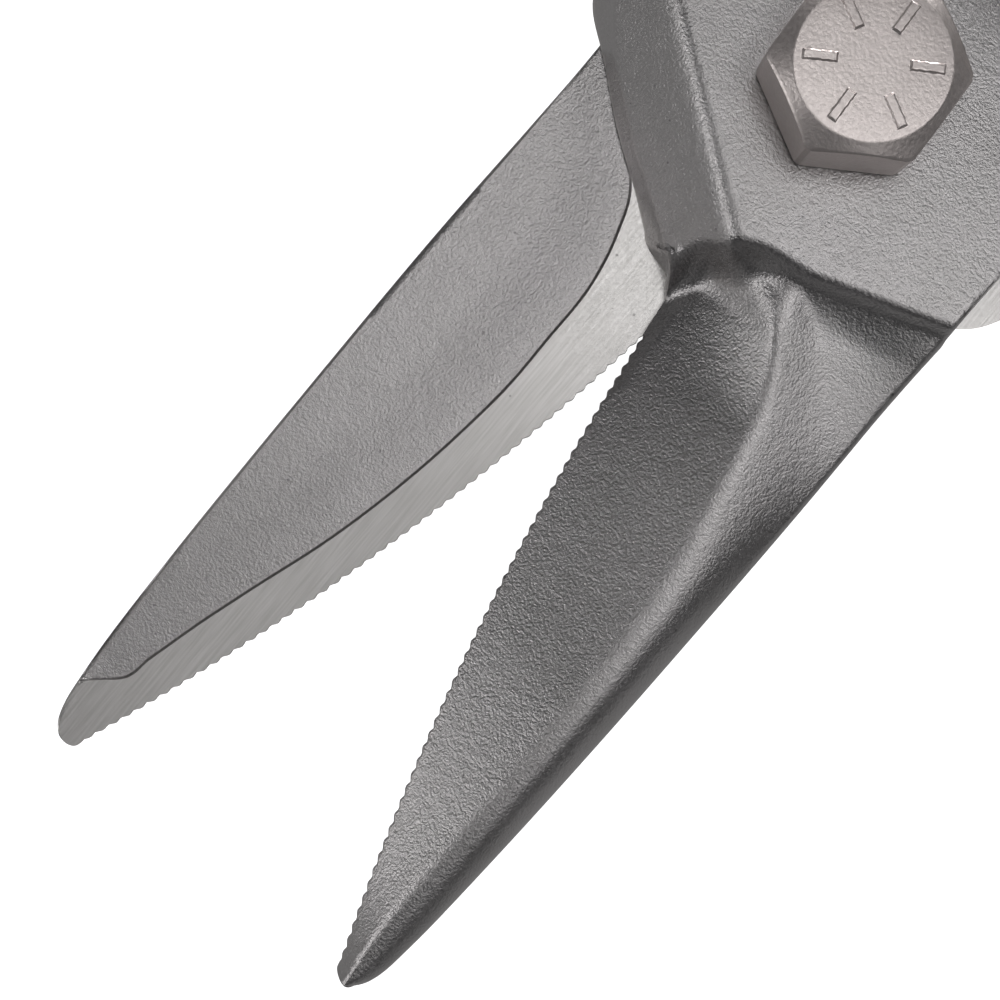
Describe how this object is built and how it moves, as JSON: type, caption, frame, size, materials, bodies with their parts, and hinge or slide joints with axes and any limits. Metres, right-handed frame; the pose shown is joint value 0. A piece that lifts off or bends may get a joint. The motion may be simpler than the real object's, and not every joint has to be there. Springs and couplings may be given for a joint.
{
  "type": "compound-action snips",
  "caption": "Hand snips with two forged serrated blades on a hexagon pivot bolt, compound channel handles, return spring and thumb latch.",
  "frame": {"origin": "on the pivot bolt's axis, at the outer flat face of its nut", "axes": "+X to the right of a user who looks along the tool, +Y forward to the blade tips, +Z along the pivot bolt towards its head"},
  "size_m": [0.1616, 0.2449, 0.0263],
  "materials": {
    "blade_steel": "sand-blasted forging with ground edge land",
    "bolt_steel": "satin nickel plate",
    "insert_nylon": "nylon",
    "handle_steel": "satin nickel plate on pressed steel",
    "grip_vinyl": "moulded vinyl",
    "rivet_steel": "zinc plate",
    "spring_steel": "spring wire",
    "seat_plastic": "moulded nylon",
    "latch_steel": "stamped, zinc plate"
  },
  "bodies": {
    "fixed_handle": {"front_handle": "handle_steel", "front_grip": "grip_vinyl", "front_tang_rivet": "rivet_steel", "front_tang_washers": "rivet_steel", "link_rivet": "rivet_steel", "link_bush": "rivet_steel", "link_washers": "rivet_steel", "front_spring_seat": "seat_plastic", "latch_rivet": "rivet_steel", "latch_washer": "rivet_steel", "return_spring": "spring_steel"},
    "moving_handle": {"rear_handle": "handle_steel", "rear_grip": "grip_vinyl", "rear_tang_rivet": "rivet_steel", "rear_tang_washers": "rivet_steel", "rear_spring_seat": "seat_plastic", "latch_keeper": "rivet_steel"},
    "upper_blade": {"front_blade": "blade_steel", "pivot_bolt": "bolt_steel", "pivot_washer": "bolt_steel", "pivot_nut": "bolt_steel", "nut_insert": "insert_nylon"},
    "lower_blade": {"rear_blade": "blade_steel"},
    "latch": {"latch_lever": "latch_steel"}
  },
  "joints": [
    {"name": "handle_pivot", "type": "hinge", "parent": "fixed_handle", "child": "moving_handle", "pos_m": [0, -0.02668, 0.0128], "axis": [0, 0, 1], "range_deg": [0, 40.73], "stiffness_Nm_per_rad": 1.2, "springref_deg": -20.05, "deforming": ["return_spring"]},
    {"name": "front_tang_pivot", "type": "hinge", "parent": "fixed_handle", "child": "upper_blade", "pos_m": [0.02312, -0.0488, 0.0128], "axis": [0, 0, 1], "range_deg": [0, 9.95]},
    {"name": "blade_pivot", "type": "hinge", "parent": "upper_blade", "child": "lower_blade", "pos_m": [0, 0, 0.0128], "axis": [0, 0, 1], "range_deg": [0, 20.71]},
    {"name": "latch_pivot", "type": "hinge", "parent": "fixed_handle", "child": "latch", "pos_m": [0.02645, -0.05913, 0.0128], "axis": [0, 0, -1], "range_deg": [0, 95]}
  ],
  "couplings": [
    {"joint": "front_tang_pivot", "follows": "handle_pivot", "ratio": 0.24382},
    {"joint": "blade_pivot", "follows": "handle_pivot", "ratio": 0.50812}
  ]
}
